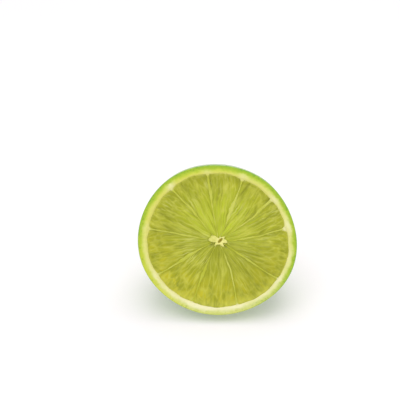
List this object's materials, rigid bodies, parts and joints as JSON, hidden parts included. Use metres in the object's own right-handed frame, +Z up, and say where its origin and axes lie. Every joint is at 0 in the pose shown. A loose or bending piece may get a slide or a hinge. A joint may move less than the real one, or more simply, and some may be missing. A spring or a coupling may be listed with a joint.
{
  "type": "lime half",
  "caption": "Half of a fresh lime, cut crosswise, with its segments, pith and core in relief on the cut face, leaning back on a small flat spot of its rind.",
  "frame": {"origin": "on the surface it rests on, under the middle of the half's box", "axes": "+X across the cut face, to the right of someone who looks at it, -Y the side that the cut face looks to, +Z up"},
  "size_m": [0.054, 0.0428, 0.0506],
  "materials": {
    "lime": "waxy green rind and moist yellow-green flesh with a cream pith"
  },
  "bodies": {
    "root": {"lime_half": "lime"}
  },
  "joints": []
}
